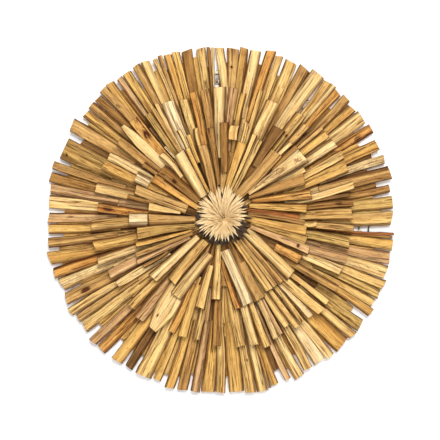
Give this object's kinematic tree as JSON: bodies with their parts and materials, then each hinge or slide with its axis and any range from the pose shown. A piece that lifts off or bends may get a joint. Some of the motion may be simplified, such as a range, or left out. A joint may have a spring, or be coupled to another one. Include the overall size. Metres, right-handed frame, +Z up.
{
  "type": "split-stick sunburst wall hanging",
  "caption": "Round wall hanging of riven sticks fanned out in overlapping tiers on a wire frame, with a dried flower head at the centre.",
  "frame": {"origin": "centre of the flat rear face of the frame's round plate, on the wall plane", "axes": "+Z up as it hangs, +Y into the wall, so the face looks along -Y"},
  "size_m": [0.6, 0.052, 0.6],
  "materials": {
    "white_wood": "dry split wood, unfinished",
    "pale_wood": "dry split wood, unfinished",
    "straw_wood": "dry split wood, unfinished",
    "honey_wood": "dry split wood, unfinished",
    "olive_wood": "dry split wood, unfinished",
    "rose_wood": "dry split wood, unfinished",
    "tan_wood": "dry split wood, unfinished",
    "orange_wood": "dry split wood, unfinished",
    "red_wood": "dry split wood, unfinished",
    "brown_wood": "dry split wood, unfinished",
    "dark_wood": "dry split wood, unfinished",
    "black_wire": "satin",
    "dark_bract": "dry, papery",
    "dried_petal": "dry, fibrous"
  },
  "bodies": {
    "root": {"wire_frame": "black_wire", "hanger_tab": "black_wire", "outer_sticks_1": "straw_wood", "outer_sticks_2": "straw_wood", "outer_sticks_3": "straw_wood", "outer_sticks_4": "straw_wood", "outer_sticks_5": "straw_wood", "outer_sticks_6": "straw_wood", "middle_sticks_1": "honey_wood", "middle_sticks_2": "honey_wood", "middle_sticks_3": "honey_wood", "middle_sticks_4": "honey_wood", "middle_sticks_5": "honey_wood", "middle_sticks_6": "honey_wood", "top_stick_01": "tan_wood", "top_stick_02": "straw_wood", "top_stick_03": "straw_wood", "top_stick_04": "straw_wood", "top_stick_05": "pale_wood", "top_stick_06": "dark_wood", "top_stick_07": "honey_wood", "top_stick_08": "pale_wood", "top_stick_09": "tan_wood", "top_stick_10": "rose_wood", "top_stick_11": "honey_wood", "top_stick_12": "red_wood", "top_stick_13": "tan_wood", "top_stick_14": "honey_wood", "top_stick_15": "olive_wood", "top_stick_16": "rose_wood", "top_stick_17": "orange_wood", "top_stick_18": "pale_wood", "top_stick_19": "tan_wood", "top_stick_20": "tan_wood", "top_stick_21": "straw_wood", "top_stick_22": "tan_wood", "top_stick_23": "white_wood", "top_stick_24": "orange_wood", "top_stick_25": "straw_wood", "top_stick_26": "straw_wood", "top_stick_27": "pale_wood", "top_stick_28": "honey_wood", "top_stick_29": "straw_wood", "top_stick_30": "rose_wood", "top_stick_31": "tan_wood", "top_stick_32": "honey_wood", "top_stick_33": "olive_wood", "top_stick_34": "tan_wood", "top_stick_35": "white_wood", "top_stick_36": "pale_wood", "top_stick_37": "honey_wood", "top_stick_38": "white_wood", "top_stick_39": "honey_wood", "top_stick_40": "brown_wood", "top_stick_41": "pale_wood", "top_stick_42": "pale_wood", "top_stick_43": "honey_wood", "top_stick_44": "tan_wood", "flower_bracts": "dark_bract", "flower_head": "dried_petal"}
  },
  "joints": []
}
